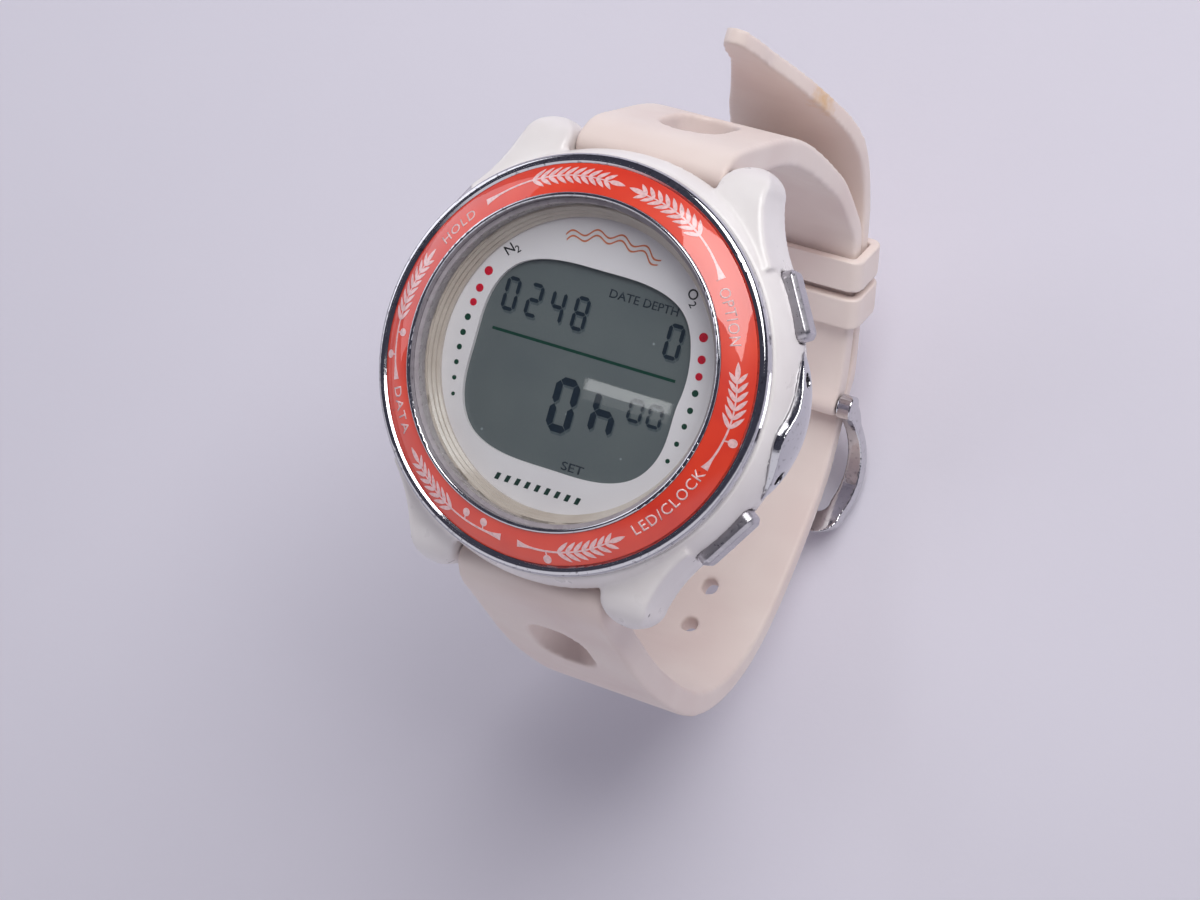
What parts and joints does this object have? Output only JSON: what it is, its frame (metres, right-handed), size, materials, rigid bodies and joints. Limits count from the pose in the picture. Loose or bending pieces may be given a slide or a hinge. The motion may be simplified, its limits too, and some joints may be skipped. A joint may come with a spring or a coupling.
{
  "type": "dive computer",
  "caption": "Wrist-worn dive computer with a round white case, printed orange bezel, segment display, side pushers and a buckled rubber strap with keepers.",
  "frame": {"origin": "middle of the case back's outer face", "axes": "+Z out of the dial, +Y toward 12 o'clock, +X toward 3 o'clock; the buckled strap hangs below the case in -Z"},
  "size_m": [0.05, 0.0788, 0.0776],
  "materials": {
    "case_plastic": "glossy warm white moulding with tiny grey specks",
    "polished_steel": "mirror polish, nicked along the rims",
    "satin_steel": "fine satin",
    "dark_steel": "dull, in shadow",
    "bezel_orange": "clear-coated vermilion print",
    "crystal_glass": "polished clear",
    "flange_plastic": "pearly beige",
    "dial_white": "screen-printed white",
    "lcd_glass": "grey-green polariser",
    "backlight_film": "matt film",
    "module_plastic": "moulded black",
    "board_green": "solder resist",
    "component_black": "moulded",
    "brass": "plain",
    "gasket_rubber": "matt",
    "strap_rubber": "satin cream rubber"
  },
  "bodies": {
    "watch": {"backlight_panel": "backlight_film", "battery": "satin_steel", "battery_contact": "satin_steel", "bezel_insert": "bezel_orange", "bezel_ring": "polished_steel", "board_components": "component_black", "buckle_bar": "polished_steel", "case_back": "satin_steel", "case_back_gasket": "gasket_rubber", "case_back_screws": "polished_steel", "case_body": "case_plastic", "circuit_board": "board_green", "crystal": "crystal_glass", "crystal_gasket": "gasket_rubber", "dial_plate": "dial_white", "flange_ring": "flange_plastic", "keeper_fixed": "strap_rubber", "lcd_panel": "lcd_glass", "module_frame": "module_plastic", "piezo_buzzer": "brass", "pressure_sensor": "satin_steel", "pusher_sleeves": "satin_steel", "pusher_spring_lower_left": "satin_steel", "pusher_spring_lower_right": "satin_steel", "pusher_spring_upper_left": "satin_steel", "pusher_spring_upper_right": "satin_steel", "sensor_seal": "gasket_rubber", "side_guard_left": "polished_steel", "side_guard_right": "polished_steel", "side_guard_screws": "dark_steel", "spring_bar_lower": "satin_steel", "spring_bar_upper": "satin_steel", "strap_lower": "strap_rubber", "strap_upper": "strap_rubber", "zebra_strips": "gasket_rubber"},
    "pusher_upper_right": {"pusher_upper_right": "satin_steel", "pusher_seal_upper_right": "gasket_rubber", "pusher_clip_upper_right": "satin_steel"},
    "pusher_upper_left": {"pusher_upper_left": "satin_steel", "pusher_seal_upper_left": "gasket_rubber", "pusher_clip_upper_left": "satin_steel"},
    "pusher_lower_left": {"pusher_lower_left": "satin_steel", "pusher_seal_lower_left": "gasket_rubber", "pusher_clip_lower_left": "satin_steel"},
    "pusher_lower_right": {"pusher_lower_right": "satin_steel", "pusher_seal_lower_right": "gasket_rubber", "pusher_clip_lower_right": "satin_steel"},
    "keeper_free": {"keeper_free": "strap_rubber"},
    "buckle_frame": {"buckle_frame": "polished_steel"},
    "buckle_tang": {"buckle_tang": "polished_steel"}
  },
  "joints": [
    {"name": "press_upper_right", "type": "slide", "parent": "watch", "child": "pusher_upper_right", "axis": [-0.8536, -0.521, 0], "range_m": [0, 0.0008], "stiffness_N_per_m": 200, "springref_m": -0.0006, "deforming": ["pusher_spring_upper_right"]},
    {"name": "press_upper_left", "type": "slide", "parent": "watch", "child": "pusher_upper_left", "axis": [0.8536, -0.521, 0], "range_m": [0, 0.0008], "stiffness_N_per_m": 200, "springref_m": -0.0006, "deforming": ["pusher_spring_upper_left"]},
    {"name": "press_lower_left", "type": "slide", "parent": "watch", "child": "pusher_lower_left", "axis": [0.8434, 0.5373, 0], "range_m": [0, 0.0008], "stiffness_N_per_m": 200, "springref_m": -0.0006, "deforming": ["pusher_spring_lower_left"]},
    {"name": "press_lower_right", "type": "slide", "parent": "watch", "child": "pusher_lower_right", "axis": [-0.8434, 0.5373, 0], "range_m": [0, 0.0008], "stiffness_N_per_m": 200, "springref_m": -0.0006, "deforming": ["pusher_spring_lower_right"]},
    {"name": "keeper_slide", "type": "slide", "parent": "watch", "child": "keeper_free", "axis": [0, 0.8423, 0.5391], "range_m": [-0.0008, 0.002]},
    {"name": "buckle_frame_hinge", "type": "hinge", "parent": "watch", "child": "buckle_frame", "pos_m": [0, 0.0027, -0.0532], "axis": [1, 0, 0], "range_deg": [-2, 6]},
    {"name": "buckle_tang_hinge", "type": "hinge", "parent": "buckle_frame", "child": "buckle_tang", "pos_m": [0, 0.0027, -0.0532], "axis": [1, 0, 0], "range_deg": [0, 6]}
  ]
}
